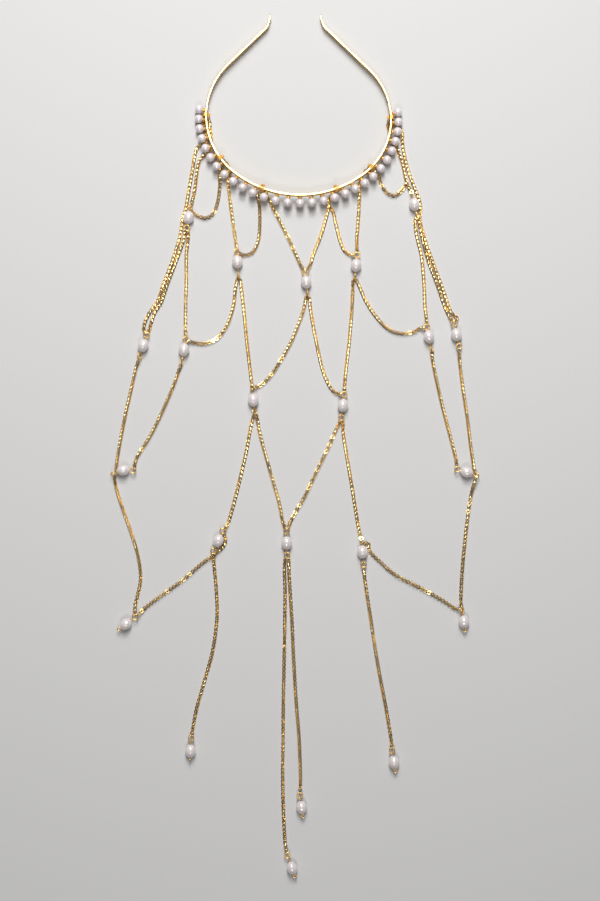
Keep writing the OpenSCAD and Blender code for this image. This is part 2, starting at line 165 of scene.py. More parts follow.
def as_it_lies(side, x, y, z):
    """Mirrors a point of the plan to its side, and slopes the band back about its ends."""
    y = CROWN_CENTRE[1] + y - END_Y
    return np.array([CROWN_CENTRE[0] + side * x,
                     END_Y + y * cos(SLOPE) + z * sin(SLOPE),
                     z * cos(SLOPE) - y * sin(SLOPE)])


def band_spot(side, s, out, up):
    """A point at a distance along the strip, outwards from its middle and up from its edge."""
    a, p = arc_place(side, s)
    return as_it_lies(side, p[0] + out * sin(radians(a)), p[1] - out * cos(radians(a)), up)


def half_line(side):
    """The strip's middle line and outward ways, from the crown's middle to the arm's end."""
    crown, shoulder_r, last, arm, tip = SIDES[side]
    arcs = CROWN_R * radians(crown) + shoulder_r * radians(last - crown)
    line = []
    for s in np.linspace(0, arcs, 136):
        a, p = arc_place(side, s)
        line.append((p, np.array([sin(radians(a)), -cos(radians(a))])))
    start, out = line[-1]
    way = np.array([-out[1], out[0]])
    tip_way = np.array([-sin(radians(tip)), cos(radians(tip))])
    corner = start + arm * way
    for t in np.linspace(0.05, 1, 16):
        line.append((start + t * (arm - TIP_BEND) * way, out))
    for t in np.linspace(0.15, 1, 6):
        p = (1 - t) ** 2 * (corner - TIP_BEND * way) + 2 * t * (1 - t) * corner \
            + t * t * (corner + TIP_BEND * tip_way)
        w = unit((1 - t) * way + t * tip_way)
        line.append((p, np.array([w[1], -w[0]])))
    for t in np.linspace(0.2, 1, 5):
        line.append((corner + (TIP_BEND + t * (TIP_LEN - TIP_BEND)) * tip_way,
                     np.array([tip_way[1], -tip_way[0]])))
    return line


def strip_profile(thick, high, edge):
    """A rounded oblong across the strip: pairs of outward and upward places."""
    ring = []
    for cx, cz, a0 in ((1, 1, 0), (-1, 1, 90), (-1, -1, 180), (1, -1, 270)):
        for a in (0, 30, 60, 90):
            turn = radians(a0 + a)
            ring.append((cx * (thick / 2 - edge) + edge * cos(turn),
                         high / 2 + cz * (high / 2 - edge) + edge * sin(turn)))
    return ring


class Piece:
    """Points and faces of one piece in millimetres, gathered before it becomes an object."""

    def __init__(self):
        self.points, self.faces, self.grain, self.count = [], [], [], 0

    def add(self, points, faces, grain=None):
        points = np.asarray(points, float)
        self.points.append(points)
        self.faces += [[i + self.count for i in face] for face in faces]
        self.grain.append(np.zeros((len(points), 2)) if grain is None else np.asarray(grain))
        self.count += len(points)

    def make(self, name, material, nodes, smooth=True):
        mesh = bpy.data.meshes.new(name)
        points = np.concatenate(self.points) * MM
        mesh.from_pydata(points.tolist(), [], self.faces)
        mesh.polygons.foreach_set("use_smooth", [smooth] * len(mesh.polygons))
        grain = np.concatenate(self.grain)
        layer = mesh.uv_layers.new(name="grain")
        corners = np.zeros(len(mesh.loops), int)
        mesh.loops.foreach_get("vertex_index", corners)
        layer.data.foreach_set("uv", grain[corners].ravel())
        mesh.materials.append(material)
        mesh.validate()
        thing = bpy.data.objects.new(name, mesh)
        bpy.context.scene.collection.objects.link(thing)
        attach(thing, "root")
        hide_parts(*nodes)
        return thing


def lattice(rings, around, closed=False):
    """Faces of a tube of rings, with the first and last ring closed unless it joins up."""
    faces = []
    for i in range(rings if closed else rings - 1):
        for j in range(around):
            a, b = i * around, (i + 1) % rings * around
            k = (j + 1) % around
            faces.append((a + j, a + k, b + k, b + j))
    if not closed:
        faces += [tuple(range(around))[::-1], tuple((rings - 1) * around + j
                                                    for j in range(around))]
    return faces


# Gilt strip: rolled brass under a thin gold wash, polished along its length, which gives long
# pale highlights with a faint grain. The grain is 0.12 mm between lines, 6 mm along them, and
# the wash is uneven over 7 mm.
GRAIN, GRAIN_LEN, WASH, POLISH_DEPTH = 0.12, 6, 7, 0.02
gilt_strip, tree, place = new_material("gilt_polished_brass_strip")
grain_uv = add_node(tree, "UVMap", uv_map="grain").outputs[0]
stretch = add_node(tree, "Mapping", {"Vector": grain_uv, "Scale": (1 / GRAIN_LEN, 1 / GRAIN, 1)})
lines = add_node(tree, "TexNoise", {"Vector": stretch.outputs[0], "Scale": 1.0, "Detail": 2.0})
wash = add_node(tree, "TexNoise", {"Vector": place, "Scale": 1 / (WASH * MM), "Detail": 2.0})
strip_tone = add_node(tree, "MixRGB", {"Fac": wash.outputs[0], "Color1": linear("#E9C277"),
                                       "Color2": linear("#F4D795")})
strip_rough = add_node(tree, "MapRange", {"Value": lines.outputs[0], "To Min": 0.14,
                                          "To Max": 0.3})
strip_bump = add_node(tree, "Bump", {"Height": lines.outputs[0], "Strength": 0.12,
                                     "Distance": POLISH_DEPTH * MM})
finish_material(tree, Base_Color=strip_tone.outputs[0], Metallic=1.0,
                Roughness=strip_rough.outputs[0], Normal=strip_bump.outputs[0])

left_line = [(side_p, out, -1) for side_p, out in half_line(-1)][:0:-1]
right_line = [(side_p, out, 1) for side_p, out in half_line(1)]
profile = strip_profile(STRIP_T, STRIP_H, STRIP_EDGE)
PROFILE_STEP = 0.8  # how far apart the grain takes two corners of the profile to be
rings, marks, travelled, previous = [], [], 0, None
strip_line = left_line + right_line
for i, (p, out, side) in enumerate(strip_line):
    if previous is not None:
        travelled += np.linalg.norm(p * (side, 1) - previous)
    previous = p * (side, 1)
    rings.append([as_it_lies(side, *(p + o * out), z) for o, z in profile])
    marks.append([(travelled, j * PROFILE_STEP) for j in range(len(profile))])


def strip_end(index):
    """Rings that shrink towards the strip's rounded end."""
    p, out, side = strip_line[index]
    way = np.array([-out[1], out[0]])
    ends = []
    for share in (0.35, 0.65, 0.85, 0.97):
        narrow = sqrt(1 - share * share)
        ends.append([as_it_lies(side, *(p + share * STRIP_T / 2 * way + o * narrow * out),
                                STRIP_H / 2
                                + (z - STRIP_H / 2) * (1 - TIP_ROUNDING * share ** 4))
                     for o, z in profile])
    return ends


first = strip_end(0)[::-1]
last = strip_end(len(strip_line) - 1)
rings = first + rings + last
marks = [marks[0]] * len(first) + marks + [marks[-1]] * len(last)
band = Piece()
band.add([point for ring in rings for point in ring], lattice(len(rings), len(profile)),
         [mark for ring in marks for mark in ring])
band.make("strip_band", gilt_strip, ["band"])


# Each pearl stands on a brass post that is soldered to the strip through a small fillet. A fine
# wire is coiled round the post's foot, and ends tucked against the strip.
def tube(path, radius, sides):
    """Points and faces of a round wire along a path, carried without twisting."""
    path = np.asarray(path, float)
    count = len(path)
    ways = np.concatenate([path[1:], path[-1:]]) - np.concatenate([path[:1], path[:-1]])
    ways /= np.linalg.norm(ways, axis=1)[:, None]
    side = np.cross(ways[0], (0, 0, 1) if abs(ways[0][2]) < 0.9 else (1, 0, 0))
    radii = np.broadcast_to(radius, count)
    points = []
    for i in range(count):
        side = unit(side - ways[i] * np.dot(side, ways[i]))
        up = np.cross(side, ways[i])
        for j in range(sides):
            a = 2 * pi * j / sides
            points.append(path[i] + radii[i] * (cos(a) * side + sin(a) * up))
    return np.array(points), [face[::-1] for face in lattice(count, sides)]


def rounded_wire(path, radius):
    """A path and radii whose two ends are nipped and tumbled round."""
    path = [np.asarray(p, float) for p in path]
    start, end = unit(path[0] - path[1]), unit(path[-1] - path[-2])
    head = [path[0] + start * radius * t for t in (0.9, 0.6)]
    tail = [path[-1] + end * radius * t for t in (0.6, 0.9)]
    radii = [radius * 0.4, radius * 0.8] + [radius] * len(path) + [radius * 0.8, radius * 0.4]
    return head + path + tail, np.array(radii)


# Gilt wire: drawn brass wire under the same wash, bright and warm. Its die lines are too fine to
# show, so they are drawn as a 0.3 mm mottle in the gloss, and the tone drifts over 3 mm.
DIE_MOTTLE, TONE_DRIFT, DIE_DEPTH = 0.3, 3, 0.02
gilt_wire, tree, place = new_material("gilt_drawn_brass_wire")
mottle = add_node(tree, "TexNoise", {"Vector": place, "Scale": 1 / (DIE_MOTTLE * MM),
                                    "Detail": 2.0})
batch = add_node(tree, "TexNoise", {"Vector": place, "Scale": 1 / (TONE_DRIFT * MM),
                                   "Detail": 1.0})
wire_tone = add_node(tree, "MixRGB", {"Fac": batch.outputs[0], "Color1": linear("#EEB857"),
                                      "Color2": linear("#FFD88C")})
wire_rough = add_node(tree, "MapRange", {"Value": mottle.outputs[0], "To Min": 0.28,
                                         "To Max": 0.44})
wire_bump = add_node(tree, "Bump", {"Height": mottle.outputs[0], "Strength": 0.15,
                                    "Distance": DIE_DEPTH * MM})
finish_material(tree, Base_Color=wire_tone.outputs[0], Metallic=1.0,
                Roughness=wire_rough.outputs[0], Normal=wire_bump.outputs[0])

PEARL_OUT, PEARL_UP = 5.25, 2.5
PEARLS_A_SIDE, LEAN_STEP, LEAN_MOST = 14, 4, 12
# Each side: the pitch at the crown, and how it tightens along the row
ROWS = {-1: (8.3, 0.083), 1: (7.9, 0.07)}
POST_R, COIL_R, COIL_WIRE, COIL_TURNS = 0.45, 1.13, 0.33, 2.1
COIL_START, COIL_RISE, COIL_PHASE = 1.04, 0.56, 0.37
# The fillet, the post and its rounded end: distance from the strip's middle, and radius
POST_SHAPE = [(0.72, 0.95), (0.85, 0.72), (1.0, 0.55), (1.2, POST_R), (3.5, POST_R),
              (6.0, POST_R), (6.1, 0.3)]
pearl_places = [(1, 0, 0)]
for side in (-1, 1):
    pitch, tightening = ROWS[side]
    for k in range(1, PEARLS_A_SIDE + 1):
        lean = min(LEAN_MOST, LEAN_STEP * k)
        foot = pitch * k - tightening * k * k - PEARL_OUT * sin(radians(lean))
        pearl_places.append((side, foot, lean))


def post_frame(side, foot, lean):
    """The foot of a pearl's post, its outward way and two ways across it."""
    base = band_spot(side, foot, 0, PEARL_UP)
    out = band_spot(side, foot, 1, PEARL_UP) - base
    along = unit(band_spot(side, foot + 0.01, 0, PEARL_UP) - base)
    out = unit(out * cos(radians(lean)) + along * sin(radians(lean)))
    across = unit(np.cross(out, (0, 0, 1)))
    return base, out, across, np.cross(across, out)


posts = Piece()
for n, (side, foot, lean) in enumerate(pearl_places):
    base, out, across, up = post_frame(side, foot, lean)
    posts.add(*tube([base + out * d for d, r in POST_SHAPE], [r for d, r in POST_SHAPE], 12))
    coil = []
    for t in np.linspace(0, COIL_TURNS, 44):
        a = 2 * pi * (t + COIL_PHASE * n)
        coil.append(base + out * (COIL_START + COIL_RISE * t)
                    + COIL_R * (cos(a) * across + sin(a) * up))
    posts.add(*tube(*rounded_wire(coil, COIL_WIRE), 8))
posts.make("pearl_posts_and_coils", gilt_wire, ["pearl_posts"])


# The round pearls are cultured, half drilled and glued on their posts. Each is a ball with its
# own slight flattening, faint growth rings and pits.
ROUND_R, DRILL, HALF_DRILLED, RIM = 3.0, 0.55, 2, 0.25
# How much a pearl swells and is pitted and over how many millimetres, how much it is ringed and
# how closely, and how much it is flattened
SWELL, SWELL_SIZE, PITTED, PIT_SIZE = 0.012, 2.6, 0.006, 0.9
RINGED, RING_TURN, FLATTENED = 0.006, 3.1, 0.012


def turned_pearl(half_len, radius, taper, hole, through, seed, middle, axis):
    """Points and faces of a drilled pearl, with the small unevenness of its own growth."""
    around = 40
    start = asin((hole / radius) ** (1 / taper))
    mouth = half_len * cos(start)
    deep = half_len * 0.8 if through else HALF_DRILLED
    profile = [(deep - mouth, hole * 0.95), (RIM - mouth, hole)]
    for t in np.linspace(start, pi - (start if through else 0.02), 30):
        profile.append((-half_len * cos(t), radius * sin(t) ** taper))
    if through:
        profile += [(mouth - RIM, hole), (mouth - deep, hole * 0.95)]
    axis = np.asarray(axis, float)
    side = unit(np.cross(axis, (0, 0, 1) if abs(axis[2]) < 0.9 else (1, 0, 0)))
    up = np.cross(side, axis)
    oval = 1 + FLATTENED * sin(seed * 2.3)
    points = []
    for z, r in profile:
        for j in range(around):
            a = 2 * pi * j / around
            p = Vector((r * cos(a), r * sin(a), z))
            swell = 1
            if r > hole * 1.02:
                slow = noise.noise(p / SWELL_SIZE + Vector((seed * 7.1, 0, 0)))
                pits = noise.noise(p / PIT_SIZE + Vector((0, seed * 5.3, 0)))
                growth = SWELL * slow + PITTED * pits + RINGED * sin(z * RING_TURN + seed)
                swell += growth * min(1, (r - hole) / 0.8)
            points.append(middle + side * p.x * swell * oval + up * p.y * swell / oval
                          + axis * p.z)
    return points, [face[::-1] for face in lattice(len(profile), around)]


# Nacre: thin layers of pearl over the bead, waxed by tumbling. It has a deep gloss under a clear
# skin, and a body of lavender white that clouds every 1.5 mm, with a rose tint over 3.4 mm.
CLOUD, ROSE_TINT, RELIEF, RELIEF_DEPTH = 1.5, 3.4, 1.4, 0.08
UNDERSKIN_SCATTER = 0.6


def nacre(name, body, shade, blush):
    """Nacre of a body colour, the shade of its clouds and its tint."""
    material, tree, place = new_material(name)
    cloud = add_node(tree, "TexNoise", {"Vector": place, "Scale": 1 / (CLOUD * MM),
                                        "Detail": 3.0, "Distortion": 0.6})
    bands = add_node(tree, "TexNoise", {"Vector": place, "Scale": 1 / (ROSE_TINT * MM),
                                        "Detail": 1.0})
    dimples = add_node(tree, "TexVoronoi", {"Vector": place, "Scale": 1 / (RELIEF * MM)})
    base = add_node(tree, "MixRGB", {"Fac": cloud.outputs[0], "Color1": linear(body),
                                     "Color2": linear(shade)})
    share = add_node(tree, "MapRange", {"Value": bands.outputs[0], "From Min": 0.45,
                                        "From Max": 0.75, "To Max": 0.5})
    tinted = add_node(tree, "MixRGB", {"Fac": share.outputs[0], "Color1": base.outputs[0],
                                       "Color2": linear(blush)})
    gloss = add_node(tree, "MapRange", {"Value": cloud.outputs[0], "To Min": 0.2,
                                        "To Max": 0.36})
    relief = add_node(tree, "Bump", {"Height": dimples.outputs["Distance"], "Strength": 0.3,
                                     "Distance": RELIEF_DEPTH * MM})
    finish_material(tree, Base_Color=tinted.outputs[0], Roughness=gloss.outputs[0],
                    Normal=relief.outputs[0], Subsurface_Weight=0.06,
                    Subsurface_Scale=UNDERSKIN_SCATTER * MM, IOR=1.6, Specular_IOR_Level=0.8,
                    Coat_Weight=1.0, Coat_IOR=1.8, Coat_Roughness=0.08)
    return material


round_nacre = nacre("cultured_round_nacre", "#EAE4E4", "#CDC3C6", "#DFCDCE")
pearls = Piece()
for n, (side, foot, lean) in enumerate(pearl_places):
    base, out, across, up = post_frame(side, foot, lean)
    pearls.add(*turned_pearl(ROUND_R, ROUND_R, 1, DRILL, False, n, base + out * PEARL_OUT, out))
pearls.make("round_pearl_row", round_nacre, ["round_pearls"])

# Six ties of brass wire bind the chains to the band. Each goes three to five times round the
# strip, stands off its outer side to take the chains' end links, and ends inside in a small coil.
TIE_WIRE, TIE_PITCH, TIE_ROOM, TIE_SLACK, TIE_CORNER = 0.7, 0.85, 0.75, 0.1, 0.55
OUTER_RUN = STRIP_T / 2 + TIE_ROOM + TIE_WIRE / 2
INNER_RUN = -(STRIP_T / 2 + TIE_SLACK + TIE_WIRE / 2)
tie_low, tie_high = -TIE_SLACK - TIE_WIRE / 2, STRIP_H + TIE_SLACK + TIE_WIRE / 2
KNOT_TURNS, KNOT_LEN, KNOT_R, KNOT_WIRE = 3.2, 2.1, 0.62, 0.32
KNOT_OUT, KNOT_UP = -2.12, 4.3
# Each: side, distance along the strip of the middle turn, and the turns before and after it
TIES = [(-1, 95.8, 1, 1), (-1, 63, 1, 2), (-1, 26.2, 1, 3), (1, 25, 1, 3), (1, 55.1, 2, 1),
        (1, 93.3, 1, 1)]
loop_round = []
for cx, cz, a0 in ((OUTER_RUN, tie_high, 0), (INNER_RUN, tie_high, 90),
                   (INNER_RUN, tie_low, 180), (OUTER_RUN, tie_low, 270)):
    inx, inz = (-1 if cx > 0 else 1), (-1 if cz > 0 else 1)
    for a in (0, 22.5, 45, 67.5, 90):
        turn = radians(a0 + a)
        loop_round.append((cx + inx * TIE_CORNER + TIE_CORNER * cos(turn),
                           cz + inz * TIE_CORNER + TIE_CORNER * sin(turn)))
WIRE_START = 8  # the wire starts inside the band, at the top
loop_round = loop_round[WIRE_START:] + loop_round[:WIRE_START]
ties = Piece()
for n, (side, s, before, after) in enumerate(TIES):
    steps = len(loop_round)
    path = []
    for i in range((before + 1 + after) * steps + 4):
        out, up = loop_round[i % steps]
        path.append(band_spot(side, s + (i / steps - before - 0.5) * TIE_PITCH, out, up))
    ties.add(*tube(*rounded_wire(path, TIE_WIRE / 2), 10))
    middle = s + (after - before) * TIE_PITCH / 2
    knot = []
    for t in np.linspace(0, 1, 70):
        a = 2 * pi * KNOT_TURNS * t + n
        knot.append(band_spot(side, middle + (t - 0.5) * KNOT_LEN,
                              KNOT_OUT + KNOT_R * cos(a), KNOT_UP + KNOT_R * sin(a)))
    ties.add(*tube(*rounded_wire(knot, KNOT_WIRE), 8))
ties.make("chain_tie_wires", gilt_wire, ["chain_ties"])

# The rice pearls are drilled end to end and threaded on eye pins. They are freshwater pearls,
# longer than wide, a little whiter than the round ones.
RICE_HALF, RICE_R, RICE_TAPER, RICE_HEIGHT = 4.75, 3.7, 1.15, 3.78
rice_nacre = nacre("freshwater_rice_nacre", "#EAE4E2", "#CFC5C5", "#DECDCC")
# Number, x, y, lean, reach of the top and the bottom loop, roll of each, and sideways step
BEADS = [
    (1, -74.8, 160.4, 10, 6.9, 7.4, 60, 0, 0), (2, -40.6, 129.4, -3.5, 7, 8.8, 20, 90, 0),
    (3, 7.5, 115.3, -6, 6.9, 7.5, 0, 90, 0), (4, 42.3, 127, 6, 7.3, 7.3, 0, 90, 0),
    (5, 83.1, 169.5, -12, 6.9, 6.9, 90, 90, 0), (6, -106.5, 70.9, 18.5, 7.8, 7.7, 0, 45, 0),
    (7, -78, 68, 10.5, 7.1, 6.9, 20, 90, 0), (8, 93.2, 77.1, -11.6, 6.9, 8.8, 0, 60, 0),
    (9, 112.5, 78.4, -13, 8, 8.2, 0, 0, 0), (10, -29.5, 32.8, -6, 6.9, 8.3, 90, 45, 0),
    (11, 33.1, 29.1, 6.6, 7.7, 8.7, 0, 0, 0), (12, -120.58, -16.2, 80, 6.9, 6.9, 0, 50, 1.5),
    (13, 119.76, -17.6, -73, 6.9, 6.9, 0, 50, 0), (14, -54, -65.5, 24.7, 7.4, 8, 0, 0, 0),
    (15, -6.1, -67.1, -1, 8.3, 8.7, 0, 0, 0), (16, 46.8, -73.3, -5, 7.4, 9, 90, 0, 0),
    (17, -118.7, -123.8, 53, 8.2, 6, 0, 0, 0), (18, 117.7, -122.2, -7.5, 7.5, 6, 60, 0, 0),
    (19, -73.4, -212.5, 3, 9.1, 6, 0, 90, 0), (20, 68.9, -220.4, -9, 8.5, 6, 0, 0, 0),
    (21, 4.3, -252, -8.5, 8.6, 6, 0, 0, 0), (22, -2.4, -294.3, -20.6, 9.5, 6, 0, 0, 0),
]


def pin_frame(bead):
    """The middle of a rice pearl, the way of its pin's top end, and the way across it."""
    lean = radians(bead[3])
    return (np.array([bead[1], bead[2], RICE_HEIGHT]), np.array([sin(lean), cos(lean), 0]),
            np.array([cos(lean), -sin(lean), 0]))


for bead in BEADS:
    middle, way, across = pin_frame(bead)
    pearl = Piece()
    pearl.add(*turned_pearl(RICE_HALF, RICE_R, RICE_TAPER, DRILL, True, 40 + bead[0],
                            middle, way))
    pearl.make(f"rice_pearl_{bead[0]}_nacre", rice_nacre, [f"rice_pearl_{bead[0]}"])

# Each pin is one brass wire through the pearl, turned to a loop at both ends. The six drops
# have a small turned stop under the pearl in place of the second large loop.
PIN_R, LOOP_R, LOOP_WIRE, STOP_R, STOP_WIRE, FIRST_DROP = 0.4, 1.85, 0.45, 1.05, 0.35, 17
LOOP_BEND, LOOP_START, LOOP_CLOSE = 0.55, -78, 254


def loop_frame(bead, end):
    """The centre of a pin's loop, its outward way and its normal."""
    middle, way, across = pin_frame(bead)
    roll = radians(bead[6] if end > 0 else bead[7])
    centre = middle + end * way * bead[4 if end > 0 else 5] + across * bead[8]
    return centre, end * way, cos(roll) * np.array([0, 0, 1]) + sin(roll) * across


pins = Piece()
for bead in BEADS:
    middle, way, across = pin_frame(bead)
    for end in (1, -1):
        centre, out, normal = loop_frame(bead, end)
        is_stop = end < 0 and bead[0] >= FIRST_DROP
        ring_r, wire_r = (STOP_R, STOP_WIRE) if is_stop else (LOOP_R, LOOP_WIRE)
        flat = np.cross(normal, out)
        neck = bead[4 if end > 0 else 5] - ring_r
        path, radii = [], []
        for d in np.linspace(0, neck - LOOP_BEND, 6):
            path.append(middle + end * way * d)
            radii.append(PIN_R)
        path[-1] = path[-1] + across * bead[8] * 0.5
        for a in np.linspace(LOOP_START, LOOP_CLOSE, 44):
            turn = radians(a)
            path.append(centre + ring_r * (cos(turn) * flat + sin(turn) * out))
            radii.append(wire_r)
        path.append(path[-1] * 2 - path[-2])
        radii.append(wire_r * 0.5)
        pins.add(*tube(path, radii, 12))
pins.make("eye_pin_wires", gilt_wire, ["eye_pins"])

# The chains are belcher chain: round soldered links of flat-sided wire, each through the next.
# The links lie leaning, neither flat nor upright, which gives the rope look, and turn over seven
# links to the angle of the loop, tie or chain that an end link hooks on.
LINK_WIRE, LINK_R, LINK_EDGE = 0.25, 1.12, 0.33
LINK_PITCH, LINK_STEPS, END_LINKS = 1.42, 12, 7
REST_HEIGHT, HOOK_SAG = LINK_R * 0.71 + LINK_WIRE, 0.35
# How far the links are rolled off an even 45 degrees, how much that drifts over how many links,
# and how far they stay clear of lying flat, all in radians
LINK_ROLL, ROLL_DRIFT, DRIFT_LINKS, LEVEL_GAP = 0.45, 0.2, 8, 0.28
# The chains roll to alternate sides, down the list, but for these places in it
OTHER_SIDE = (2, 34)
# How far a link leans to the side, tips along its chain and strays from that. From TASSEL_TOP
# down the tipping changes, by one LINK_TIP in TIP_CHANGE millimetres, until it is reversed
LINK_LEAN, LINK_TIP, TIP_SPREAD = radians(22), radians(12), radians(24)
TASSEL_TOP, TIP_CHANGE = -60, 20
# Across a link's wire: outwards, along the ring's axis, and its rub share; low inside, for painted
# shade
LINK_SECTION = [(0.3, 0, 1), (0.24, 0.2, 1), (-0.2, 0.2, 0.55), (-0.3, 0, 0),
                (-0.2, -0.2, 0.55), (0.24, -0.2, 1)]
TOP, LOW = 1, -1
